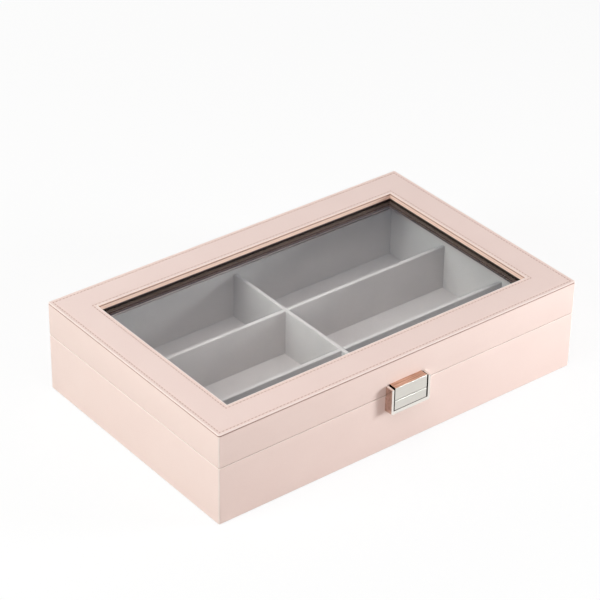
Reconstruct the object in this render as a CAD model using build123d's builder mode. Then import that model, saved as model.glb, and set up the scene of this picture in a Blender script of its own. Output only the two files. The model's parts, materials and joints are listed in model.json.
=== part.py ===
from build123d import *
import os
from math import cos, radians, sin

# Display box covered in leatherette: a lined base with six compartments, a glazed lid on two
# stop hinges at the back, and a press catch at the front. Sizes are in millimetres. The origin
# is the centre of the face that it stands on, +X runs along the box, and the catch faces -Y.

# Whole box
length = 336.0              # outside, left to right
width = 214.0               # outside, front to back
height = 77.0               # standing face to the top of the lid
rim_height = 48.5           # standing face to the base's rim
seam_gap = 0.3              # closed lid above the rim
corner_bevel = 0.9          # upright edges
edge_radius = 0.9           # covered edges at the foot, the seam and the groove

# Boards and what covers them
board = 6.0                 # wall boards
floor_board = 2.5
skin = 0.8                  # leatherette glued over the boards
skin_lift = 0.3             # turned-under leatherette above the standing face
turn_under = 9.0            # leatherette turned in under the base
lining = 1.2                # suede-covered card inside the walls
floor_lining = 1.0
lining_drop = 0.5           # lining's edge back from the rim
felt_inset = 10.0           # felt foot's edge in from the side of the box
felt_radius = 3.0           # felt foot's corners

# Dividers
divider = 3.4               # suede-covered card, both faces included
divider_drop = 5.0          # dividers' top edges below the rim
row_share = 0.345           # lengthwise dividers' places, as a share of the inside's half width
divider_fit = 0.2           # dividers' ends to the lining
notch_fit = 0.15            # each side of a cross-halved notch
divider_radius = 0.8        # rounded top edges

# Lid
window_border = 27.0        # frame's width, edge of the box to the window
panel = 1.5                 # leatherette-covered top sheet
panel_radius = 0.7          # its upper edges
panel_under_radius = 0.4    # its lower edges, which make the groove
frame_strip = 3.5           # mitred strips under the top sheet
glass = 2.0
glass_lap = 6.0             # glass hidden behind the frame on each side
glass_fit = 0.2             # glass edge to its rebate
glass_radius = 2.0          # its corners
retainer_drop = 5.2         # retainer below the glass

# Hinges
hinge_inset = 63.0          # hinge's centre from the end of the box
leaf_length = 30.0
leaf = 1.0
leaf_setback = 0.4          # leaf's inner edge in from the board's inner face
leaf_radius = 1.0           # its inner corners
leaf_fit = 0.1              # leaf in its recess
knuckle_radius = 2.0
knuckle_length = 10.0       # the lid's middle knuckle
knuckle_gap = 0.3           # between knuckles, and knuckle to box
pin_radius = 0.9
pin_fit = 0.05              # radial clearance of the pin in the knuckles
open_angle = 95.0           # lid's travel, where the stop tails meet
tail = 1.0                  # stop tails' thickness
tail_reach = 4.7            # stop tails' ends, from the hinge's axis
tail_setback = 0.9          # lid's tail behind the axis
stop_clearance = 0.2        # left between the tails at the limit

# Hinge screws
screw_radius = 1.0
screw_fit = 0.03            # radial clearance in a threaded hole
screw_length = 8.0          # head's face to tip
screw_end_gap = 0.3         # threaded holes deeper than the screws
screw_offset = 9.0          # from the hinge's centre
countersink_fit = 0.05      # heads in the leaves, which they fill

# Catch. A drop is below the base's rim, and a rise is above it.
face_half_width = 15.1      # block and button, centre to side
face_radius = 0.5           # their front edges
face_gap = 1.1              # block and button to the housing's cheeks
cheek = 2.3                 # housing's side walls, at the box
catch_depth = 7.0           # proud of the box
catch_drop = 13.9           # housing's lower end
cheek_rise = 8.3            # its cheeks' tops
housing_back = 1.0          # housing's back plate
housing_back_drop = 0.5     # the plate's upper edge
housing_radius = 1.6        # housing's lower corners
housing_draft = 3.0         # degrees that its sides lean in towards the front
lip = 3.1                   # housing's lower lip
rim_clearance = 0.3         # cheeks in front of the lid
peg_radius = 1.6            # pegs of the housing and the block, glued into the boards
peg_fit = 0.1
peg_short = 0.6             # pegs' ends short of the boards' inner faces
housing_peg_spacing = 20.0
housing_peg_drop = 7.0
button_drop = 2.4           # button's upper edge
button_plate = 1.2
button_travel = 1.0
shelf_drop = 5.9            # button's shelf, with the hook's window
shelf = 2.0
keeper = 0.8                # shelf's bar behind the hook
ear_reach = 0.8             # shelf's ears, out behind the housing's ribs
ear_depth = 2.0
rib_depth = 1.1             # housing's ribs, which stop the ears
part_clearance = 0.3        # between parts that move past each other
block_gap = 0.4             # button to lid block
block_rise = 8.9
block_step = 0.1            # lid block's step above the lid's lower edge
block_setback = 1.5         # its lower half in front of the box
hook_half_width = 4.8
hook = 0.8                  # hook's thickness
hook_drop = 9.1             # its lower end
barb = 0.4                  # hook's barb, behind it
barb_slope = 0.5            # height of the barb's lead-in
window_fit = 0.6            # hook's sides to the shelf's window
block_peg_spacing = 18.0
block_peg_rise = 4.7
spring = 0.3                # leaf spring behind the button
spring_fit = 0.05
spring_half_length = 12.0
spring_lift = 0.2           # spring's lower edge above the button's
spring_height = 1.4

half_turn = 180             # degrees

# Worked out from the sizes above
half_length = length / 2
half_width = width / 2
board_out_x = half_length - skin
board_out_y = half_width - skin
board_in_x = board_out_x - board
board_in_y = board_out_y - board
inner_x = board_in_x - lining
inner_y = board_in_y - lining
board_bottom = skin_lift + skin
base_board_top = rim_height - skin
floor_top = board_bottom + floor_board
inside_bottom = floor_top + floor_lining
lid_bottom = rim_height + seam_gap
lid_board_bottom = lid_bottom + skin
panel_bottom = height - panel
strip_top = panel_bottom - skin
glass_top = strip_top - frame_strip
glass_bottom = glass_top - glass
retainer_bottom = glass_bottom - retainer_drop
window_x = half_length - window_border
window_y = half_width - window_border
rebate = glass_lap + glass_fit
divider_top = rim_height - divider_drop
row_y = row_share * inner_y
notch_height = (inside_bottom + divider_top) / 2
notch_half_width = divider / 2 + notch_fit

axis_y = half_width + knuckle_gap + knuckle_radius
axis_z = rim_height + seam_gap / 2
half_leaf = leaf_length / 2
half_knuckle = knuckle_length / 2
leaf_inner_y = board_in_y + leaf_setback
tail_clear = knuckle_radius + knuckle_gap
screw_y = (board_in_y + board_out_y) / 2
hinge_x = half_length - hinge_inset
hinge_places = {"left": -hinge_x, "right": hinge_x}
hinge_screw_points = [(x + side * screw_offset, screw_y) for x in (-hinge_x, hinge_x)
                      for side in (-1, 1)]

# Heights of the catch's parts
catch_bottom = rim_height - catch_drop
cheek_top = rim_height + cheek_rise
housing_back_top = rim_height - housing_back_drop
lip_top = catch_bottom + lip
housing_peg_height = rim_height - housing_peg_drop
button_bottom = lip_top + part_clearance
button_top = rim_height - button_drop
shelf_top = rim_height - shelf_drop
shelf_bottom = shelf_top - shelf
block_bottom = button_top + block_gap
block_shoulder = lid_bottom + block_step
block_top = rim_height + block_rise
block_peg_height = rim_height + block_peg_rise
hook_bottom = rim_height - hook_drop
spring_bottom = button_bottom + spring_lift

# Distances of the catch's parts forwards from the middle of the box
catch_front = half_width + catch_depth
back_plate_front = half_width + housing_back
button_back = catch_front - button_plate
hook_front = button_back - button_travel - part_clearance
hook_back = hook_front - hook
barb_back = hook_back - barb
keeper_front = barb_back - part_clearance
keeper_back = keeper_front - keeper
ear_front = keeper_back + ear_depth
rib_back = ear_front + part_clearance
slot_half_width = face_half_width + face_gap
housing_half_width = slot_half_width + cheek
peg_end = board_in_y + peg_short
housing_pegs = [(side * housing_peg_spacing / 2, housing_peg_height) for side in (-1, 1)]
block_pegs = [(side * block_peg_spacing / 2, block_peg_height) for side in (-1, 1)]

# Areas of the walls and their linings. Front and back run full length, the sides fit between.
board_areas = {
    "front": ((-board_out_x, board_out_x), (-board_out_y, -board_in_y)),
    "back": ((-board_out_x, board_out_x), (board_in_y, board_out_y)),
    "left": ((-board_out_x, -board_in_x), (-board_in_y, board_in_y)),
    "right": ((board_in_x, board_out_x), (-board_in_y, board_in_y)),
}
lining_areas = {
    "front": ((-board_in_x, board_in_x), (-board_in_y, -inner_y)),
    "back": ((-board_in_x, board_in_x), (inner_y, board_in_y)),
    "left": ((-board_in_x, -inner_x), (-inner_y, inner_y)),
    "right": ((inner_x, board_in_x), (-inner_y, inner_y)),
}

os.makedirs("parts", exist_ok=True)


def save(piece, name):
    piece.part.label = name
    export_step(piece.part, f"parts/{name}.step")


def slab(x_range, y_range, z_range, mode=Mode.ADD):
    with BuildSketch(Plane.XY.offset(z_range[0])) as area:
        with Locations((sum(x_range) / 2, sum(y_range) / 2)):
            Rectangle(x_range[1] - x_range[0], y_range[1] - y_range[0])
    extrude(area.sketch, amount=z_range[1] - z_range[0], mode=mode)


def centred_slab(half_x, half_y, z_range, mode=Mode.ADD):
    slab((-half_x, half_x), (-half_y, half_y), z_range, mode)


def front_slab(x_range, forward_range, z_range, mode=Mode.ADD):
    slab(x_range, (-forward_range[1], -forward_range[0]), z_range, mode)


def rods_forward(points, radius, near, far, mode=Mode.ADD):
    # along Y, between two distances forwards from the middle of the box
    with BuildSketch(Plane.XZ.offset(near)) as ends:
        with Locations(*points):
            Circle(radius)
    extrude(ends.sketch, amount=far - near, mode=mode)


def rods_upward(points, radius, z_range, mode=Mode.ADD):
    with BuildSketch(Plane.XY.offset(z_range[0])) as ends:
        with Locations(*points):
            Circle(radius)
    extrude(ends.sketch, amount=z_range[1] - z_range[0], mode=mode)


def cones(points, face_z, radii, depth, upward, mode=Mode.ADD):
    # countersunk heads and their holes: the radii are at the face and at the depth
    turn = (0, 0, 0) if upward else (half_turn, 0, 0)
    with Locations(*[(x, y, face_z) for x, y in points]):
        Cone(*radii, depth, rotation=turn, align=(Align.CENTER, Align.CENTER, Align.MIN), mode=mode)


def outer_body(piece, z_range, lower_radius, upper_radius, window=None):
    # the box's outline between two heights, with its long edges rounded
    with BuildSketch(Plane.XY.offset(z_range[0])) as outline:
        Rectangle(length, width)
        chamfer(outline.vertices(), corner_bevel)
        if window:
            Rectangle(*window, mode=Mode.SUBTRACT)
    extrude(outline.sketch, amount=z_range[1] - z_range[0])
    fillet(piece.edges().group_by(Axis.Z)[0], lower_radius)
    fillet(piece.edges().group_by(Axis.Z)[-1], upper_radius)


def cut_hinge_recesses(z_range):
    half_recess = half_leaf + leaf_fit
    y_range = (leaf_inner_y - leaf_fit, half_width)
    for x in hinge_places.values():
        slab((x - half_recess, x + half_recess), y_range, z_range, Mode.SUBTRACT)


def cut_hinge_screw_holes(z_range):
    rods_upward(hinge_screw_points, screw_radius + screw_fit, z_range, Mode.SUBTRACT)


def mitred_strip(side, inner, outer, z_range):
    # one side of a rectangular frame, cut at 45 degrees where its corners meet the next side
    around = [(-1, -1), (1, -1), (1, 1), (-1, 1)]
    corners = [(across * outer[0], along * outer[1]) for across, along in around]
    inside = [(across * inner[0], along * inner[1]) for across, along in around]
    first = ["front", "right", "back", "left"].index(side)
    second = (first + 1) % len(corners)
    with BuildSketch(Plane.XY.offset(z_range[0])) as outline:
        Polygon(corners[first], corners[second], inside[second], inside[first], align=None)
    extrude(outline.sketch, amount=z_range[1] - z_range[0])


# Base: boards, leatherette, felt foot and linings
for side, (x_range, y_range) in board_areas.items():
    with BuildPart() as base_wall:
        slab(x_range, y_range, (board_bottom, base_board_top))
        if side == "front":
            rods_forward(housing_pegs, peg_radius + peg_fit, board_in_y, board_out_y, Mode.SUBTRACT)
        if side == "back":
            cut_hinge_recesses((rim_height - leaf, base_board_top))
            cut_hinge_screw_holes((rim_height - screw_length - screw_end_gap, rim_height - leaf))
    save(base_wall, f"base_{side}_board")

with BuildPart() as base_floor_board:
    centred_slab(board_in_x, board_in_y, (board_bottom, floor_top))
save(base_floor_board, "base_floor_board")

with BuildPart() as base_leatherette:
    outer_body(base_leatherette, (skin_lift, rim_height), edge_radius, edge_radius)
    centred_slab(board_out_x, board_out_y, (board_bottom, base_board_top), Mode.SUBTRACT)
    centred_slab(board_in_x, board_in_y, (base_board_top, rim_height), Mode.SUBTRACT)
    centred_slab(half_length - turn_under, half_width - turn_under, (skin_lift, board_bottom),
                 Mode.SUBTRACT)
    cut_hinge_recesses((rim_height - leaf, rim_height))
    rods_forward(housing_pegs, peg_radius + peg_fit, board_out_y, half_width, Mode.SUBTRACT)
save(base_leatherette, "base_leatherette")

with BuildPart() as felt_foot:
    with BuildSketch():
        RectangleRounded(length - 2 * felt_inset, width - 2 * felt_inset, felt_radius)
    extrude(amount=board_bottom)
save(felt_foot, "felt_foot")

for side, (x_range, y_range) in lining_areas.items():
    with BuildPart() as base_lining:
        slab(x_range, y_range, (inside_bottom, rim_height - lining_drop))
    save(base_lining, f"base_{side}_lining")

with BuildPart() as base_floor_lining:
    centred_slab(board_in_x, board_in_y, (floor_top, inside_bottom))
save(base_floor_lining, "base_floor_lining")

# Dividers: one runs front to back and is notched from below, and two run lengthwise and are
# notched from above, so that the three lock into a grid with their top edges level.
with BuildPart() as centre_divider:
    centred_slab(divider / 2, inner_y - divider_fit, (inside_bottom, divider_top))
    fillet(centre_divider.edges().filter_by(Axis.Y).group_by(Axis.Z)[-1], divider_radius)
    for y in (-row_y, row_y):
        notch = (y - notch_half_width, y + notch_half_width)
        slab((-divider, divider), notch, (inside_bottom, notch_height + notch_fit), Mode.SUBTRACT)
save(centre_divider, "centre_divider")

for name, y in {"front_divider": -row_y, "back_divider": row_y}.items():
    with BuildPart() as row_divider:
        slab((divider_fit - inner_x, inner_x - divider_fit), (y - divider / 2, y + divider / 2),
             (inside_bottom, divider_top))
        fillet(row_divider.edges().filter_by(Axis.X).group_by(Axis.Z)[-1], divider_radius)
        slab((-notch_half_width, notch_half_width), (y - divider, y + divider),
             (notch_height - notch_fit, divider_top), Mode.SUBTRACT)
    save(row_divider, name)

# Lid: boards, mitred frame, glass, retainer, leatherette, top sheet and linings
for side, (x_range, y_range) in board_areas.items():
    with BuildPart() as lid_wall:
        slab(x_range, y_range, (lid_board_bottom, glass_top))
        if side == "front":
            rods_forward(block_pegs, peg_radius + peg_fit, board_in_y, board_out_y, Mode.SUBTRACT)
        if side == "back":
            cut_hinge_recesses((lid_board_bottom, lid_bottom + leaf))
            cut_hinge_screw_holes((lid_bottom + leaf, lid_bottom + screw_length + screw_end_gap))
    save(lid_wall, f"lid_{side}_board")

for side in board_areas:
    with BuildPart() as frame_piece:
        mitred_strip(side, (window_x + skin, window_y + skin), (board_out_x, board_out_y),
                     (glass_top, strip_top))
    save(frame_piece, f"window_frame_{side}")

    with BuildPart() as retainer_piece:
        board_edge = (board_in_x, board_in_y)
        mitred_strip(side, (window_x, window_y), board_edge, (retainer_bottom, glass_bottom))
        mitred_strip(side, (window_x + rebate, window_y + rebate), board_edge, (glass_bottom, glass_top))
    save(retainer_piece, f"glass_retainer_{side}")

with BuildPart() as window_glass:
    with BuildSketch(Plane.XY.offset(glass_bottom)):
        RectangleRounded(2 * (window_x + glass_lap), 2 * (window_y + glass_lap), glass_radius)
    extrude(amount=glass)
save(window_glass, "window_glass")

with BuildPart() as lid_leatherette:
    outer_body(lid_leatherette, (lid_bottom, panel_bottom), edge_radius, edge_radius)
    centred_slab(board_out_x, board_out_y, (lid_board_bottom, glass_top), Mode.SUBTRACT)
    centred_slab(board_in_x, board_in_y, (lid_bottom, lid_board_bottom), Mode.SUBTRACT)
    with BuildSketch(Plane.XY.offset(glass_top)):
        Rectangle(2 * board_out_x, 2 * board_out_y)
        Rectangle(2 * (window_x + skin), 2 * (window_y + skin), mode=Mode.SUBTRACT)
    extrude(amount=frame_strip, mode=Mode.SUBTRACT)
    centred_slab(window_x, window_y, (glass_top, panel_bottom), Mode.SUBTRACT)
    cut_hinge_recesses((lid_bottom, lid_bottom + leaf))
    rods_forward(block_pegs, peg_radius + peg_fit, board_out_y, half_width, Mode.SUBTRACT)
save(lid_leatherette, "lid_leatherette")

with BuildPart() as top_sheet:
    window = (2 * window_x, 2 * window_y)
    outer_body(top_sheet, (panel_bottom, height), panel_under_radius, panel_radius, window)
save(top_sheet, "top_sheet")

for side, (x_range, y_range) in lining_areas.items():
    with BuildPart() as lid_lining:
        slab(x_range, y_range, (lid_bottom + lining_drop, retainer_bottom))
    save(lid_lining, f"lid_{side}_lining")


# Stop hinges. The base's leaf carries the two outer knuckles and the lid's leaf the middle one.
# The lid's tail stands up behind the box, swings back with the lid and meets the base's tails.
def knuckle_spans(x, part):
    if part == "lid":
        return [(x - half_knuckle, x + half_knuckle)]
    reach = half_knuckle + knuckle_gap
    return [(x - half_leaf, x - reach), (x + reach, x + half_leaf)]


def stop_tails(x, part):
    if part == "lid":
        tail_y = (axis_y - tail_setback - tail, axis_y - tail_setback)
        slab((x - half_knuckle, x + half_knuckle), tail_y, (axis_z + tail, axis_z + tail_reach))
        slab((x - half_leaf, x + half_leaf), tail_y, (axis_z + tail_clear, axis_z + tail_reach))
        return
    angle = radians(open_angle)
    lid_tail_low = tail_setback * sin(angle) + tail_reach * cos(angle)
    tail_top = axis_z + lid_tail_low - stop_clearance
    for span in knuckle_spans(x, part):
        slab(span, (axis_y + tail, axis_y + tail_reach), (tail_top - tail, tail_top))


leaf_heights = {"base": (rim_height - leaf, rim_height), "lid": (lid_bottom, lid_bottom + leaf)}
leaf_faces = {"base": rim_height, "lid": lid_bottom}
head_radius = screw_radius + leaf

for place, x in hinge_places.items():
    screw_points = [(x - screw_offset, screw_y), (x + screw_offset, screw_y)]
    for part, z_range in leaf_heights.items():
        with BuildPart() as hinge_leaf:
            slab((x - half_leaf, x + half_leaf), (leaf_inner_y, half_width), z_range)
            fillet(hinge_leaf.edges().filter_by(Axis.Z).group_by(Axis.Y)[0], leaf_radius)
            for span in knuckle_spans(x, part):
                slab(span, (half_width, axis_y), z_range)
                with BuildSketch(Plane.YZ.offset(span[0])):
                    with Locations((axis_y, axis_z)):
                        Circle(knuckle_radius)
                extrude(amount=span[1] - span[0])
            stop_tails(x, part)
            with BuildSketch(Plane.YZ.offset(x - half_leaf)):
                with Locations((axis_y, axis_z)):
                    Circle(pin_radius + pin_fit)
            extrude(amount=leaf_length, mode=Mode.SUBTRACT)
            countersink = (head_radius + countersink_fit, screw_radius + countersink_fit)
            cones(screw_points, leaf_faces[part], countersink, leaf, part == "lid", Mode.SUBTRACT)
        save(hinge_leaf, f"{place}_hinge_{part}_leaf")

    with BuildPart() as hinge_pin:
        with BuildSketch(Plane.YZ.offset(x - half_leaf)):
            with Locations((axis_y, axis_z)):
                Circle(pin_radius)
        extrude(amount=leaf_length)
    save(hinge_pin, f"{place}_hinge_pin")

for part, face_z in leaf_faces.items():
    upward = part == "lid"
    tip_z = face_z + screw_length if upward else face_z - screw_length
    with BuildPart() as hinge_screws:
        cones(hinge_screw_points, face_z, (head_radius, screw_radius), leaf, upward)
        rods_upward(hinge_screw_points, screw_radius, sorted((face_z, tip_z)))
    save(hinge_screws, f"{part}_hinge_screws")

# Press catch. The lid's hook hangs through the window in the button's shelf, with its barb just
# in front of the shelf's bar. Pressing the button slides the bar back from the barb.
with BuildPart() as catch_housing:
    with BuildSketch(Plane.XZ.offset(half_width)) as housing_outline:
        with Locations((0, (catch_bottom + cheek_top) / 2)):
            Rectangle(2 * housing_half_width, cheek_top - catch_bottom)
        fillet(housing_outline.vertices().group_by(Axis.Y)[0], housing_radius)
    extrude(amount=catch_depth, taper=housing_draft)
    slot = (-slot_half_width, slot_half_width)
    front_slab(slot, (back_plate_front, catch_front), (lip_top, cheek_top), Mode.SUBTRACT)
    front_slab(slot, (half_width, back_plate_front), (housing_back_top, cheek_top), Mode.SUBTRACT)
    front_slab((-housing_half_width, housing_half_width), (half_width, half_width + rim_clearance),
               (housing_back_top, cheek_top), Mode.SUBTRACT)
    rib_inner = face_half_width + part_clearance
    for rib in ((-slot_half_width, -rib_inner), (rib_inner, slot_half_width)):
        front_slab(rib, (rib_back, rib_back + rib_depth), (lip_top, button_top))
    rods_forward(housing_pegs, peg_radius, peg_end, half_width)
save(catch_housing, "catch_housing")

face_span = (-face_half_width, face_half_width)

with BuildPart() as catch_button:
    front_slab(face_span, (button_back, catch_front), (button_bottom, button_top))
    fillet(catch_button.faces().sort_by(Axis.Y)[0].edges(), face_radius)
    shelf_heights = (shelf_bottom, shelf_top)
    front_slab(face_span, (keeper_back, button_back), shelf_heights)
    ear_x = face_half_width + ear_reach
    front_slab((-ear_x, ear_x), (keeper_back, ear_front), shelf_heights)
    hook_window = hook_half_width + window_fit
    front_slab((-hook_window, hook_window), (keeper_front, button_back), shelf_heights, Mode.SUBTRACT)
save(catch_button, "catch_button")

with BuildPart() as catch_block:
    front_slab(face_span, (half_width, catch_front), (block_shoulder, block_top))
    front_slab(face_span, (half_width + block_setback, catch_front), (block_bottom, block_shoulder))
    fillet(catch_block.faces().sort_by(Axis.Y)[0].edges(), face_radius)
    front_slab((-hook_half_width, hook_half_width), (hook_back, hook_front), (hook_bottom, block_bottom))
    with BuildSketch(Plane.YZ):
        barb_top = shelf_bottom - part_clearance
        Polygon((-hook_back, hook_bottom), (-barb_back, hook_bottom + barb_slope),
                (-barb_back, barb_top), (-hook_back, barb_top), align=None)
    extrude(amount=hook_half_width, both=True)
    rods_forward(block_pegs, peg_radius, peg_end, half_width)
save(catch_block, "catch_block")

with BuildPart() as catch_spring:
    ends_y = part_clearance - button_back
    middle_y = -back_plate_front - spring_fit
    with BuildSketch(Plane.XY.offset(spring_bottom)):
        with BuildLine():
            back_arc = ThreePointArc((-spring_half_length, ends_y + spring), (0, middle_y),
                                     (spring_half_length, ends_y + spring))
            front_arc = ThreePointArc((-spring_half_length, ends_y), (0, middle_y - spring),
                                      (spring_half_length, ends_y))
            Line(back_arc @ 0, front_arc @ 0)
            Line(back_arc @ 1, front_arc @ 1)
        make_face()
    extrude(amount=spring_height)
save(catch_spring, "catch_spring")
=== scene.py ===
import json
import math

import bpy
import bmesh
from mathutils import Matrix, Vector


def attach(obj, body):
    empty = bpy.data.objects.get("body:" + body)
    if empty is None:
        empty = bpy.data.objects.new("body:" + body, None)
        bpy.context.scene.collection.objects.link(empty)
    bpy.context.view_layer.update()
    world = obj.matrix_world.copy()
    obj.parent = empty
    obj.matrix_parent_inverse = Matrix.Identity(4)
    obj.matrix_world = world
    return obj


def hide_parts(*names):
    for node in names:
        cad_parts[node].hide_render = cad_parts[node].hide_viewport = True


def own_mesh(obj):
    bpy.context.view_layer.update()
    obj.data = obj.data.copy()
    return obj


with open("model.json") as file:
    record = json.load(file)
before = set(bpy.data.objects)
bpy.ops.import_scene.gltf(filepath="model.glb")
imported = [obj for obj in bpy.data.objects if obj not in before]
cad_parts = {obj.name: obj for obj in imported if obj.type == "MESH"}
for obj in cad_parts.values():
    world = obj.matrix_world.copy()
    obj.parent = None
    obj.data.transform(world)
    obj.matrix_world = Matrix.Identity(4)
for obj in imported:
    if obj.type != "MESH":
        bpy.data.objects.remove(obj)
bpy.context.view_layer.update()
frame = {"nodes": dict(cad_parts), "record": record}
scene = bpy.context.scene
nodes = frame["nodes"]

# Lid box with a window: pale pink leatherette over boards, grey suede inside. The catch faces -Y.
# Shapes, and places in the finishes, are in millimetres. Textures, lamps and camera are in metres.
mm, perMetre = 0.001, 1000
box = dict(halfX=168.0, halfY=107.0, cornerRadius=1.5, leastRadius=0.02, skin=0.8, seam=48.5,
           lidFoot=48.8, groove=75.5, top=77.0, edgeRadius=0.9, windowInset=27.0)


# Shader maths: a Wire is one output of a node, so that 1 - mask makes its own Math node
class Wire:
    def __init__(self, shader, socket):
        self.shader, self.socket = shader, socket

    def maths(self, operation, *values):
        return self.shader.node("Math", dict(operation=operation), dict(enumerate(values)))

    def __add__(self, other):
        return self.maths("ADD", self, other)

    def __sub__(self, other):
        return self.maths("SUBTRACT", self, other)

    def __rsub__(self, other):
        return self.maths("SUBTRACT", other, self)

    def __mul__(self, other):
        return self.maths("MULTIPLY", self, other)

    __radd__, __rmul__ = __add__, __mul__

    def sine(self):
        return self.maths("SINE", self)

    def absolute(self):
        return self.maths("ABSOLUTE", self)

    def larger(self, other):
        return self.maths("MAXIMUM", self, other)

    def smaller(self, other):
        return self.maths("MINIMUM", self, other)

    def rising(self, low, high):
        # 0 below low and 1 above high
        return self.shader.node("MapRange", dict(interpolation_type="SMOOTHSTEP"),
                                {0: self, 1: low, 2: high})

    def near(self, middle, reach):
        # 1 within half the reach of the middle, and 0 beyond the reach
        return 1 - (self - middle).absolute().rising(0.5 * reach, reach)


class Shader:
    def __init__(self, owner):
        owner.use_nodes = True
        self.owner, self.tree = owner, owner.node_tree
        self.tree.nodes.clear()

    def node(self, kind, settings=None, inputs=None, output=0):
        made = self.tree.nodes.new("ShaderNode" + kind)
        for key, value in (settings or {}).items():
            if key == "stops":
                ramp = made.color_ramp.elements
                while len(ramp) < len(value):
                    ramp.new(0.5)
                for element, (place, colour) in zip(ramp, value):
                    element.position, element.color = place, colour
            else:
                setattr(made, key, value)
        for key, value in (inputs or {}).items():
            if isinstance(value, Wire):
                self.tree.links.new(value.socket, made.inputs[key])
            else:
                made.inputs[key].default_value = value
        return Wire(self, made.outputs[output]) if made.outputs else None

    def place(self, scale):
        coordinates = self.node("TexCoord", output="Object")
        return self.node("VectorMath", dict(operation="MULTIPLY"), {0: coordinates, 1: scale})

    def axes(self, scale=1):
        spot = self.place((scale, scale, scale))
        return [self.node("SeparateXYZ", {}, {0: spot}, axis) for axis in range(3)]

    def noise(self, scale, detail=3, stretch=(1, 1, 1), roughness=0.55):
        return self.node("TexNoise", {}, {"Vector": self.place(stretch), "Scale": scale,
                                          "Detail": detail, "Roughness": roughness}, "Fac")

    def blend(self, factor, first, second):
        return self.node("Mix", dict(data_type="RGBA"), {0: factor, 6: first, 7: second}, 2)

    def facing(self, coordinates, direction):
        return self.node("VectorMath", dict(operation="DOT_PRODUCT"),
                         {0: self.node("TexCoord", output=coordinates), 1: direction}, "Value")

    def ray(self, kind):
        return self.node("LightPath", output=f"Is {kind} Ray")

    def bump(self, height, depth):
        return self.node("Bump", {}, {"Height": height, "Distance": depth, "Strength": 1.0})

    def finish(self, surface):
        self.node("OutputMaterial", {}, {"Surface": surface})
        return self.owner


def srgb(red, green, blue):
    def linear(value):
        value /= 255
        return value / 12.92 if value <= 0.04045 else ((value + 0.055) / 1.055) ** 2.4
    return (linear(red), linear(green), linear(blue), 1)


def material(name):
    return Shader(bpy.data.materials.new(name))


# Leatherette: a fine linen grain, pressed into a matt coat. It carries painted shade in the sewn
# channels, in the groove and in the seam, painted warm bounce light inside the window, and painted
# highlights on the edges. It is coloured dark along the foot of the window's band, round the glass.
leatherette = dict(
    colour=srgb(248, 226, 218), shade=srgb(238, 211, 203), roughness=0.55, roughnessSwing=0.16,
    sheen=0.15, sheenRoughness=0.4, ior=1.45, threadPitch=0.00085, wanderReach=2.2,
    wander=dict(scale=170, detail=2), grain=dict(scale=1500, detail=4, roughness=0.7),
    cloud=dict(scale=26), weaveHeight=0.22, grainHeight=0.9, depth=0.00008,
    weaveTone=0.06, grainTone=0.55, cloudTone=0.45,
    # painted shade in the sewn channels, in the groove and in the seam
    paintedShade=srgb(165, 102, 78), channels=(3.0, 24.0), channelReach=0.55, channelHeights=(76.1, 76.4),
    channelShade=0.55, grooveHeight=75.8, grooveReach=0.55, grooveShade=0.9,
    seamHeight=48.65, seamReach=0.3, seamShade=0.45,
    # painted warm bounce light inside the window's band
    paintedBounceColour=srgb(253, 212, 190), band=(26.8, 26.95), paintedBounceTone=0.7,
    # painted highlights along the outer edges and along the window's edge
    paintedHighlightColour=srgb(255, 242, 235), highlightFrom=(0.03, 0.2), highlightTo=(0.7, 0.95),
    highlightWindow=26.45, highlightReach=0.45, paintedHighlight=0.65,
    # coloured dark along the foot of the window's band, round the glass's edge
    darkFootColour=srgb(48, 27, 19), darkFootLow=(69.5, 70.5), darkFootHigh=(72.3, 72.5))


def makeLeatherette(name, look):
    s = material(name)
    wander = s.noise(**look["wander"]) * look["wanderReach"]
    turns = 2 * math.pi / look["threadPitch"]
    weave = sum((axis * turns + wander).sine() for axis in s.axes())
    grain, cloud = s.noise(**look["grain"]), s.noise(**look["cloud"])
    height = weave * look["weaveHeight"] + grain * look["grainHeight"]
    tone = grain * look["grainTone"] + cloud * look["cloudTone"] + weave * look["weaveTone"]
    colour = s.blend(tone, look["shade"], look["colour"])

    x, y, z = s.axes(perMetre)
    inset = (box["halfX"] - x.absolute()).smaller(box["halfY"] - y.absolute())
    inWindow = inset.rising(*look["band"])
    # painted warm bounce light inside the window's band
    colour = s.blend(inWindow * look["paintedBounceTone"], colour, look["paintedBounceColour"])
    # painted highlights along the outer edges and along the window's edge
    outerEdge = inset.rising(*look["highlightFrom"]) * (1 - inset.rising(*look["highlightTo"]))
    highlightedEdges = outerEdge + inset.near(look["highlightWindow"], look["highlightReach"])
    colour = s.blend(highlightedEdges * look["paintedHighlight"], colour, look["paintedHighlightColour"])
    # coloured dark along the foot of the window's band, round the glass's edge
    darkFoot = inWindow * (1 - z.rising(*look["darkFootHigh"])) * z.rising(*look["darkFootLow"])
    colour = s.blend(darkFoot, colour, look["darkFootColour"])
    # painted shade in the sewn channels, in the groove and in the seam
    outer, window = [inset.near(place, look["channelReach"]) for place in look["channels"]]
    sewnShade = (outer + window) * z.rising(*look["channelHeights"]) * look["channelShade"]
    groove = z.near(look["grooveHeight"], look["grooveReach"]) * look["grooveShade"]
    seam = z.near(look["seamHeight"], look["seamReach"]) * look["seamShade"]
    colour = s.blend(sewnShade + groove + seam, colour, look["paintedShade"])

    swing = look["roughnessSwing"]
    return s.finish(s.node("BsdfPrincipled", {}, {
        "Base Color": colour, "Roughness": grain * swing + (look["roughness"] - swing / 2),
        "Sheen Weight": look["sheen"], "Sheen Roughness": look["sheenRoughness"],
        "IOR": look["ior"], "Normal": s.bump(height, look["depth"])}))


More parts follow.
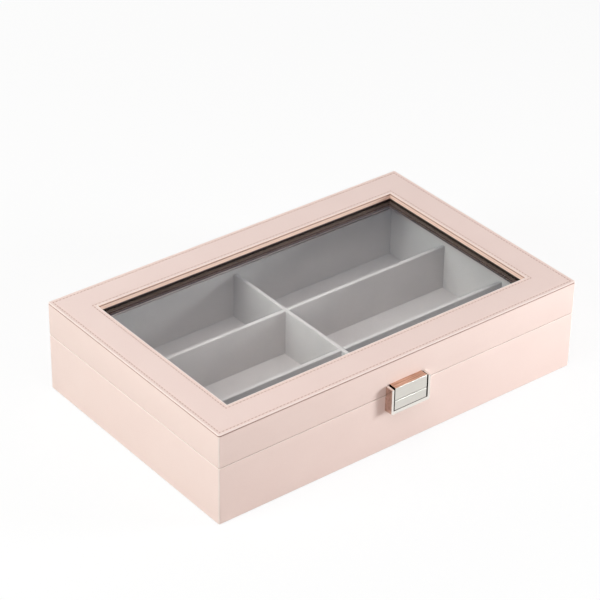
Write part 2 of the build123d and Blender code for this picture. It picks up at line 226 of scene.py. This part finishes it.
# Suede and felt: short nap, mottled where it was stroked
napped = dict(detail=5, roughness=0.75, napTone=0.45, strokeTone=0.6,
              strokes=dict(scale=34, detail=4, roughness=0.6), sheenRoughness=0.5, specular=0.2)
suede = dict(colour=srgb(193, 184, 177), shade=srgb(163, 154, 148), nap=900, depth=0.00012,
             roughness=0.95, sheen=0.35, stretch=(1, 1, 1))
darkSuede = dict(colour=srgb(48, 28, 21), shade=srgb(22, 12, 8), nap=700, depth=0.00014,
                 roughness=0.95, sheen=0.1, stretch=(1, 1, 0.28))
felt = dict(colour=srgb(92, 86, 84), shade=srgb(60, 56, 55), nap=520, depth=0.0003,
            roughness=1.0, sheen=0.2, stretch=(1, 1, 1))


def makeNapped(name, look):
    s = material(name)
    nap = s.noise(look["nap"], napped["detail"], look["stretch"], napped["roughness"])
    strokes = s.noise(stretch=look["stretch"], **napped["strokes"])
    tone = nap * napped["napTone"] + strokes * napped["strokeTone"]
    return s.finish(s.node("BsdfPrincipled", {}, {
        "Base Color": s.blend(tone, look["shade"], look["colour"]),
        "Roughness": look["roughness"], "Sheen Weight": look["sheen"],
        "Sheen Roughness": napped["sheenRoughness"], "Specular IOR Level": napped["specular"],
        "Normal": s.bump(nap, look["depth"])}))


# Metals: brushed along the box, or plated and polished. The catch's faces that face up or left
# carry a painted pink reflection of the leatherette, and the hollow between its cheeks holds
# painted shade.
metal = dict(lines=dict(scale=1, detail=4, roughness=0.7), smears=dict(scale=60), lineTone=0.7,
             smearTone=0.3, lineRoughness=0.06, smearRoughness=0.12, roughnessShift=0.08,
             # painted pink reflection on the catch's faces that face one way
             reflectingFacing=(0.6, 0.9), reflectingFade=1, reflectionStreaks=(0.35, 0.65),
             # painted shade in the hollow between the catch's cheeks
             hollowShade=srgb(20, 15, 13), hollowHigh=16.3, hollowFront=-113.85,
             hollowSideFade=0.1, hollowFrontFade=0.3)
nickel = dict(colour=srgb(232, 229, 222), shade=srgb(202, 198, 191), roughness=0.30,
              # painted pink reflection on its faces that face up, above 50 mm
              brush=(60, 900, 2600), depth=0.00002, anisotropy=0.5, reflectingSide=(0, 0, 1), reflectingAbove=50,
              pinkReflection=srgb(232, 200, 180), pinkReflectionDark=srgb(186, 146, 124), hollowLow=14.9)
chrome = dict(colour=srgb(246, 242, 236), shade=srgb(226, 220, 213), roughness=0.13,
              # painted pink reflection on its faces that face left
              brush=(400, 400, 400), depth=0.000006, anisotropy=0.0, reflectingSide=(-1, 0, 0), reflectingAbove=0,
              pinkReflection=srgb(222, 198, 186), pinkReflectionDark=srgb(198, 170, 158), hollowLow=-1.0)
steel = dict(colour=srgb(204, 200, 192), shade=srgb(170, 166, 159), roughness=0.27,
             brush=(1800, 300, 300), depth=0.00001, anisotropy=0.3)
zinc = dict(colour=srgb(186, 184, 180), shade=srgb(150, 148, 145), roughness=0.36,
            brush=(700, 700, 700), depth=0.00001, anisotropy=0.0)


def catchPaintedLight(s, look, lines, colour):
    x, y, z = s.axes(perMetre)
    fade = metal["reflectingFade"]
    # painted pink reflection of the leatherette on the faces that face one way
    reflecting = s.facing("Normal", look["reflectingSide"]).rising(*metal["reflectingFacing"])
    reflecting = reflecting * z.rising(look["reflectingAbove"], look["reflectingAbove"] + fade)
    pinkReflection = s.blend(lines.rising(*metal["reflectionStreaks"]), look["pinkReflectionDark"], look["pinkReflection"])
    colour = s.blend(reflecting, colour, pinkReflection)
    # painted shade in the hollow between the cheeks
    low, high, front = look["hollowLow"], metal["hollowHigh"], metal["hollowFront"]
    fade = metal["hollowSideFade"]
    shadedHollow = x.absolute().rising(low, low + fade) * (1 - x.absolute().rising(high, high + fade))
    shadedHollow = shadedHollow * y.rising(front, front + metal["hollowFrontFade"])
    return s.blend(shadedHollow, colour, metal["hollowShade"])


def makeMetal(name, look):
    s = material(name)
    lines = s.noise(stretch=look["brush"], **metal["lines"])
    smears = s.noise(**metal["smears"])
    colour = s.blend(lines * metal["lineTone"] + smears * metal["smearTone"],
                     look["shade"], look["colour"])
    # the catch's metals get a painted pink reflection and painted shade in their hollow
    if "reflectingSide" in look:
        colour = catchPaintedLight(s, look, lines, colour)
    roughness = smears * metal["smearRoughness"] + lines * metal["lineRoughness"]
    return s.finish(s.node("BsdfPrincipled", {}, {
        "Base Color": colour, "Metallic": 1.0,
        "Roughness": roughness + (look["roughness"] - metal["roughnessShift"]),
        "Anisotropic": look["anisotropy"], "Normal": s.bump(lines, look["depth"])}))


# Fibreboard under the covers
board = dict(colour=srgb(186, 154, 118), shade=srgb(158, 127, 94), roughness=0.85, depth=0.0001,
             fibre=dict(scale=420, detail=5, stretch=(1, 1, 2.4), roughness=0.7))


def makeBoard(name, look):
    s = material(name)
    fibre = s.noise(**look["fibre"])
    return s.finish(s.node("BsdfPrincipled", {}, {
        "Base Color": s.blend(fibre, look["shade"], look["colour"]),
        "Roughness": look["roughness"], "Normal": s.bump(fibre, look["depth"])}))


# Thin window glass, faintly dusty: it mirrors on its surface and doesn't bend what lies below it
glass = dict(tint=srgb(247, 249, 251), dust=dict(scale=45, detail=4), dustRoughness=0.01,
             thinIor=1.01, surfaceIor=1.5, surfaceRoughness=0.02)


def makeGlass(name, look):
    s = material(name)
    dust = s.noise(**look["dust"])
    pane = s.node("BsdfPrincipled", {}, {
        "Base Color": look["tint"], "Roughness": dust * look["dustRoughness"],
        "IOR": look["thinIor"], "Transmission Weight": 1.0, "Coat Weight": 1.0,
        "Coat Roughness": look["surfaceRoughness"], "Coat IOR": look["surfaceIor"]})
    clear = s.node("BsdfTransparent", {}, {"Color": look["tint"]})
    return s.finish(s.node("MixShader", {}, {0: s.ray("Shadow"), 1: pane, 2: clear}))


thread = dict(colour=srgb(250, 232, 222), shade=srgb(222, 190, 176), roughness=0.6, sheen=0.2,
              twist=dict(scale=2600, detail=2, stretch=(1, 1, 3)), depth=0.00006)


def makeThread(name, look):
    s = material(name)
    twist = s.noise(**look["twist"])
    return s.finish(s.node("BsdfPrincipled", {}, {
        "Base Color": s.blend(twist, look["shade"], look["colour"]),
        "Roughness": look["roughness"], "Sheen Weight": look["sheen"],
        "Normal": s.bump(twist, look["depth"])}))


finishes = {
    "leatherette": makeLeatherette("pinkLeatherette", leatherette),
    "suede": makeNapped("greySuede", suede),
    "dark_suede": makeNapped("brownSuede", darkSuede),
    "felt": makeNapped("footFelt", felt),
    "board": makeBoard("fibreBoard", board),
    "glass": makeGlass("floatGlass", glass),
    "catch_plate": makeMetal("brushedNickel", nickel),
    "catch_chrome": makeMetal("polishedPlate", chrome),
    "hinge_metal": makeMetal("hingeSteel", steel),
    "screw_metal": makeMetal("zincScrew", zinc),
}
threadFinish = makeThread("sewingThread", thread)
for part in frame["record"]["subparts"]:
    for place in nodes[part["node"]].material_slots:
        place.material = finishes[part["material_slot"]]
print("finishes made")


# Making meshes: everything is given in millimetres and built in metres
def addPiece(name, points, faces, finish, body, slotName, sharp=35):
    mesh = bpy.data.meshes.new(name)
    mesh.from_pydata([[value * mm for value in point] for point in points], [], faces)
    shape = bmesh.new()
    shape.from_mesh(mesh)
    bmesh.ops.recalc_face_normals(shape, faces=shape.faces)
    shape.to_mesh(mesh)
    shape.free()
    mesh.shade_smooth()
    mesh.set_sharp_from_angle(angle=math.radians(sharp))
    mesh.materials.append(finish)
    piece = bpy.data.objects.new(name, mesh)
    scene.collection.objects.link(piece)
    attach(piece, body)
    return piece


def arc(centreInset, centreZ, radius, fromAngle, toAngle, steps=5):
    # a quarter of a rounded edge, as (inset, height) points
    angles = [math.radians(fromAngle + (toAngle - fromAngle) * step / steps)
              for step in range(steps + 1)]
    return [(centreInset - radius * math.cos(angle), centreZ + radius * math.sin(angle))
            for angle in angles]


def ring(profile, cornerSteps=6):
    # a closed profile of (inset, height) points carried round the box
    corners = [(1, -1), (1, 1), (-1, 1), (-1, -1)]
    points, faces = [], []
    for index, (alongX, alongY) in enumerate(corners):
        for step in range(cornerSteps + 1):
            angle = math.radians(-90 + 90 * (index + step / cornerSteps))
            for inset, z in profile:
                radius = max(box["cornerRadius"] - inset, box["leastRadius"])
                centreX = alongX * (box["halfX"] - inset - radius)
                centreY = alongY * (box["halfY"] - inset - radius)
                points.append((centreX + radius * math.cos(angle),
                               centreY + radius * math.sin(angle), z))
    stations, count = 4 * (cornerSteps + 1), len(profile)
    for station in range(stations):
        first, after = station * count, (station + 1) % stations * count
        for k in range(count):
            nextK = (k + 1) % count
            faces.append((first + k, after + k, after + nextK, first + nextK))
    return points, faces


def tubeFaces(first, stations, count):
    # a tube through rings of count points, with closed ends
    faces = []
    for station in range(stations):
        start = first + station * count
        for k in range(count):
            nextK = (k + 1) % count
            faces.append((start + k, start + nextK, start + nextK + count, start + k + count))
    last = first + stations * count
    return faces + [tuple(range(first, first + count)),
                    tuple(range(last + count - 1, last - 1, -1))]


def cutBoxes(piece, boxes):
    for low, high in boxes:
        cutter = bpy.data.meshes.new("cutter")
        shape = bmesh.new()
        bmesh.ops.create_cube(shape, size=1.0)
        size = [(b - a) * mm for a, b in zip(low, high)]
        middle = [(a + b) / 2 * mm for a, b in zip(low, high)]
        shape.transform(Matrix.Translation(middle) @ Matrix.Diagonal((*size, 1)))
        shape.to_mesh(cutter)
        shape.free()
        tool = bpy.data.objects.new("cutter", cutter)
        scene.collection.objects.link(tool)
        cut = piece.modifiers.new("cut", "BOOLEAN")
        cut.operation, cut.object, cut.solver = "DIFFERENCE", tool, "EXACT"
        bpy.context.view_layer.update()
        state = bpy.context.evaluated_depsgraph_get()
        solid = bpy.data.meshes.new_from_object(piece.evaluated_get(state))
        piece.modifiers.clear()
        piece.data = solid
        bpy.data.objects.remove(tool)


# Covers: leatherette wrapped over the edges, with a recess for each hinge leaf
cover = dict(foot=0.3, turnIn=9.0, rim=6.8, bandEdge=0.5, glassTop=71.2, stripTop=74.7)
recess = dict(centres=(-105.0, 105.0), halfLength=15.1, inner=100.5, depth=1.0, beyond=1)


def recessBoxes(fromZ, toZ):
    inner, outer, half = recess["inner"], box["halfY"] + recess["beyond"], recess["halfLength"]
    return [((x - half, inner, fromZ), (x + half, outer, toZ)) for x in recess["centres"]]


edge, skin, rim = box["edgeRadius"], box["skin"], cover["rim"]
seam, foot, turnIn = box["seam"], cover["foot"], cover["turnIn"]
baseProfile = [(turnIn, foot)] + arc(edge, foot + edge, edge, -90, 0)
baseProfile += arc(edge, seam - edge, edge, 0, 90)
baseProfile += [(rim, seam), (rim, seam - skin), (skin, seam - skin), (skin, foot + skin),
                (turnIn, foot + skin)]
baseCover = addPiece("baseCover", *ring(baseProfile), finishes["leatherette"], "base",
                     "leatherette")
cutBoxes(baseCover, recessBoxes(seam - recess["depth"], seam + recess["beyond"]))
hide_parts("base_leatherette")

windowInset, lidFoot, bandEdge = box["windowInset"], box["lidFoot"], cover["bandEdge"]
glassTop, stripTop = cover["glassTop"], cover["stripTop"]
band = arc(bandEdge, box["groove"] - bandEdge, bandEdge, 0, 90)
lidProfile = [(rim, lidFoot)] + arc(edge, lidFoot + edge, edge, -90, 0) + band
lidProfile += [(windowInset - inset, z) for inset, z in reversed(band)]
lidProfile += [(windowInset, glassTop), (windowInset - skin, glassTop),
               (windowInset - skin, stripTop), (skin, stripTop), (skin, lidFoot + skin),
               (rim, lidFoot + skin)]
lidCover = addPiece("lidCover", *ring(lidProfile), finishes["leatherette"], "lid", "leatherette")
cutBoxes(lidCover, recessBoxes(lidFoot - recess["beyond"], lidFoot + recess["depth"]))
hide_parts("lid_leatherette")

# Top panel: rounded outside and at the window, with a sewn channel along both. The channel's shape
# is given as shares of its half width and its depth.
panel = dict(upper=0.5, lower=0.2, slotHeight=0.65, slotDepth=1.6, channelInset=3.0,
             channelHalf=0.55, channelDepth=0.4,
             channelShape=((-2.2, 0), (-1, 0.16), (-0.5, 0.75), (0, 1), (0.5, 0.75), (1, 0.16),
                           (2.2, 0)))


def channel(middle):
    return [(middle + across * panel["channelHalf"], box["top"] - deep * panel["channelDepth"])
            for across, deep in panel["channelShape"]]


upper, lower, slotDepth = panel["upper"], panel["lower"], panel["slotDepth"]
outerLine, windowLine = panel["channelInset"], windowInset - panel["channelInset"]
lipZ = box["groove"] + panel["slotHeight"]
outerEdge = [(slotDepth, box["groove"]), (slotDepth, lipZ)]
outerEdge += arc(lower, lipZ + lower, lower, -90, 0) + arc(upper, box["top"] - upper, upper, 0, 90)
windowEdge = [(windowInset - inset, z) for inset, z in reversed(outerEdge)]
panelProfile = outerEdge + channel(outerLine) + channel(windowLine) + windowEdge
topPanel = addPiece("topPanel", *ring(panelProfile), finishes["leatherette"], "lid", "leatherette")
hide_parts("top_sheet")
print("covers made")

# Stitching: short stitches lie in the channels, each one thinner and deeper at its ends
stitch = dict(pitch=3.1, length=2.1, radius=0.36, sides=8, stations=6, taper=0.72, dip=0.30,
              steepness=4, sharp=60)


def stitchPlaces(inset):
    halfX, halfY = box["halfX"] - inset, box["halfY"] - inset
    corners = [(-halfX, -halfY), (halfX, -halfY), (halfX, halfY), (-halfX, halfY)]
    for start, end in zip(corners, corners[1:] + corners[:1]):
        start, end = Vector(start), Vector(end)
        run = end - start
        count = int(run.length / stitch["pitch"])
        for number in range(count):
            yield start + run * ((number + 0.5) / count), run.normalized()


def stitchMesh(insets):
    points, faces = [], []
    stations, sides = stitch["stations"], stitch["sides"]
    level = box["top"] - stitch["radius"]
    for inset in insets:
        for middle, along in stitchPlaces(inset):
            across = Vector((-along.y, along.x))
            faces += tubeFaces(len(points), stations, sides)
            for station in range(stations + 1):
                share = 2 * station / stations - 1
                ending = share ** stitch["steepness"]
                thick = stitch["radius"] * (1 - stitch["taper"] * ending)
                centre = middle + along * (share * stitch["length"] / 2)
                for side in range(sides):
                    angle = 2 * math.pi * side / sides
                    spot = centre + across * (thick * math.cos(angle))
                    z = level - stitch["dip"] * ending + thick * math.sin(angle)
                    points.append((spot.x, spot.y, z))
    return points, faces


addPiece("stitching", *stitchMesh([outerLine, windowLine]), threadFinish, "lid", "leatherette",
         stitch["sharp"])
print("stitching made")

# Countersunk hinge screws with crossed slots, their heads in the leaves
screw = dict(places=[(side * 105.0 + offset, 103.2) for side in (-1, 1) for offset in (-9.0, 9.0)],
             headRadius=2.0, headEdge=0.08, headDepth=1.0, radius=1.0, length=8.0, point=0.8,
             sides=28, slotLength=2.3, slotWidth=0.5, slotDepth=0.6, slotAbove=1)


def addScrews(name, node, body, faceZ, inwards):
    # inwards is +1 where the screw goes up into the lid, and -1 where it goes down into the base
    rings = [(screw["headRadius"] - screw["headEdge"], 0), (screw["headRadius"], screw["headEdge"]),
             (screw["radius"], screw["headDepth"]),
             (screw["radius"], screw["length"] - screw["point"])]
    points, faces, slots = [], [], []
    sides = screw["sides"]
    for x, y in screw["places"]:
        first = len(points)
        for radius, depth in rings:
            for side in range(sides):
                angle = 2 * math.pi * side / sides
                points.append((x + radius * math.cos(angle), y + radius * math.sin(angle),
                               faceZ + inwards * depth))
        top = len(points)
        tip, last = top + 1, top - sides
        points += [(x, y, faceZ), (x, y, faceZ + inwards * screw["length"])]
        for side in range(sides):
            after = (side + 1) % sides
            for row in range(first, last, sides):
                faces.append((row + side, row + after, row + sides + after, row + sides + side))
            faces += [(top, first + after, first + side), (tip, last + side, last + after)]
        low, high = sorted((faceZ - inwards * screw["slotAbove"],
                            faceZ + inwards * screw["slotDepth"]))
        long, wide = screw["slotLength"] / 2, screw["slotWidth"] / 2
        for reachX, reachY in ((long, wide), (wide, long)):
            slots.append(((x - reachX, y - reachY, low), (x + reachX, y + reachY, high)))
    piece = addPiece(name, points, faces, finishes["screw_metal"], body, "screw_metal")
    cutBoxes(piece, slots)
    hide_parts(node)


addScrews("baseScrews", "base_hinge_screws", "base", box["seam"], -1)
addScrews("lidScrews", "lid_hinge_screws", "lid", box["lidFoot"], 1)
print("screws made")

# Leaf spring behind the button: a shallow arc
spring = dict(halfLength=12.0, middleY=-108.2, endY=-112.2, low=38.2, high=39.6, thick=0.3,
              bevel=0.05, steps=40, keep=0.77, anchorY=-108.0)


def springMesh():
    half, bevel, low, high = spring["thick"] / 2, spring["bevel"], spring["low"], spring["high"]
    outline = [(-half, low + bevel), (-half + bevel, low), (half - bevel, low),
               (half, low + bevel), (half, high - bevel), (half - bevel, high),
               (-half + bevel, high), (-half, high - bevel)]
    sagitta = spring["middleY"] - spring["endY"]
    radius = (spring["halfLength"] ** 2 + sagitta ** 2) / (2 * sagitta)
    reach = math.asin(spring["halfLength"] / radius)
    points = []
    for step in range(spring["steps"] + 1):
        angle = reach * (2 * step / spring["steps"] - 1)
        x, y = radius * math.sin(angle), spring["middleY"] - radius * (1 - math.cos(angle))
        points += [(x + across * math.sin(angle), y + across * math.cos(angle), z)
                   for across, z in outline]
    return points, tubeFaces(0, spring["steps"], len(outline))


leafSpring = addPiece("leafSpring", *springMesh(), finishes["screw_metal"], "base", "screw_metal")
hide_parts("catch_spring")
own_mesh(leafSpring)
print("spring made")

# Soft edges, in millimetres: card covered in suede, boards and the metal of the catch
softEdges = dict(suede=0.45, dark_suede=0.35, board=0.2, catch_chrome=0.22, catch_plate=0.1)
rounding = dict(segments=3, angle=40)
for part in frame["record"]["subparts"]:
    width = softEdges.get(part["material_slot"])
    name = part["node"]
    # the dividers' edges are round already
    if width and not name.endswith("_divider") and not nodes[name].hide_render:
        bevel = nodes[name].modifiers.new("softEdge", "BEVEL")
        bevel.width, bevel.segments, bevel.limit_method = width * mm, rounding["segments"], "ANGLE"
        bevel.angle_limit = math.radians(rounding["angle"])
        nodes[name].modifiers.new("evenNormals", "WEIGHTED_NORMAL")

# Camera: where the photograph was taken from
view = dict(place=(-0.95551, -1.17995, 1.02773), right=(0.78723, -0.61648, 0.01477),
            up=(0.31935, 0.42806, 0.84545), forward=(0.52753, 0.66085, -0.53385), lens=143.28,
            sensor=36, clipStart=0.02, clipEnd=60)
cameraData = bpy.data.cameras.new("camera")
cameraData.lens, cameraData.sensor_width = view["lens"], view["sensor"]
cameraData.clip_start, cameraData.clip_end = view["clipStart"], view["clipEnd"]
camera = bpy.data.objects.new("camera", cameraData)
right, up, forward = (Vector(view[key]).normalized() for key in ("right", "up", "forward"))
turn = Matrix((right, up, -forward)).transposed().to_4x4()
camera.matrix_world = Matrix.Translation(view["place"]) @ turn
scene.collection.objects.link(camera)
scene.camera = camera

# Studio: a white floor that keeps a faint shadow, four soft lamps and an even sky. Mirrors see a
# brighter sky, with a darker blue wall behind the box.
studio = dict(sky=0.28, skyColour=(1.0, 0.93, 0.91, 1), floor=(0.60, 0.56, 0.54, 1),
              floorHalf=12, shadowShare=0.16, wall=(0.22, 0.28, 0.40, 1),
              wallPlace=(0.52753, 0.66085, 0.53385), wallEdge=(0.984, 0.994),
              haze=[(0.40, (0.92, 0.95, 0.98, 1)), (0.7, (0.80, 0.84, 0.90, 1)),
                    (1.0, (0.95, 0.95, 0.95, 1))], white=(1, 1, 1, 1))
lamps = dict(
    keyLamp=dict(place=(1.0, -0.85, 0.27), aim=(0.0, -0.1, 0.04), size=0.5, power=14.0,
                 colour=(0.94, 1.0, 1.01)),
    leftLamp=dict(place=(-1.7, 0.15, 0.8), aim=(-0.1, 0, 0.03), size=1.1, power=21.0,
                  colour=(0.91, 1.0, 0.98)),
    topLamp=dict(place=(-0.4, -0.3, 1.4), aim=(0, 0, 0.07), size=0.9, power=5.8,
                 colour=(1.0, 0.95, 0.96)),
    backLamp=dict(place=(0.5, 1.7, 0.5), aim=(0, 0, 0.03), size=1.1, power=8.5,
                  colour=(0.97, 1.0, 1.0)))


def addLamp(name, place, aim, size, power, colour):
    data = bpy.data.lights.new(name, "AREA")
    data.shape, data.size, data.energy, data.color = "DISK", size, power, colour
    made = bpy.data.objects.new(name, data)
    made.location = place
    towards = Vector(aim) - Vector(place)
    made.rotation_euler = towards.to_track_quat("-Z", "Y").to_euler()
    scene.collection.objects.link(made)


for name, values in lamps.items():
    addLamp(name, **values)

s = material("whiteFloor")
seen = s.ray("Camera").larger(s.ray("Glossy")).larger(s.ray("Transmission"))
paper = s.node("BsdfDiffuse", {}, {"Color": studio["floor"]})
white = s.node("Emission", {}, {"Color": studio["white"], "Strength": 1.0})
shaded = s.node("BsdfDiffuse", {}, {"Color": studio["white"]})
shown = s.node("MixShader", {}, {0: studio["shadowShare"], 1: white, 2: shaded})
floorFinish = s.finish(s.node("MixShader", {}, {0: seen, 1: paper, 2: shown}))
half = studio["floorHalf"]
floorMesh = bpy.data.meshes.new("floor")
floorMesh.from_pydata([(-half, -half, 0), (half, -half, 0), (half, half, 0), (-half, half, 0)],
                      [], [(0, 1, 2, 3)])
floorMesh.materials.append(floorFinish)
floor = bpy.data.objects.new("floor", floorMesh)
scene.collection.objects.link(floor)

scene.world = bpy.data.worlds.new("studioSky")
s = Shader(scene.world)
rise = s.node("SeparateXYZ", {}, {0: s.node("TexCoord", output="Generated")}, 2)
haze = s.node("ValToRGB", dict(stops=studio["haze"]), {0: rise})
wall = s.facing("Generated", studio["wallPlace"]).rising(*studio["wallEdge"])
haze = s.blend(wall, haze, studio["wall"])
mirrored = s.node("Background", {}, {"Color": haze, "Strength": 1.0})
plain = s.node("Background", {}, {"Color": studio["skyColour"], "Strength": studio["sky"]})
whiteSky = s.node("Background", {}, {"Color": studio["white"], "Strength": 1.0})
lit = s.node("MixShader", {}, {0: s.ray("Glossy"), 1: plain, 2: mirrored})
straight = s.ray("Camera").larger(s.ray("Transmission"))
sky = s.node("MixShader", {}, {0: straight, 1: lit, 2: whiteSky})
s.node("OutputWorld", {}, {"Surface": sky})

scene.view_settings.view_transform = "Standard"
print("studio made")
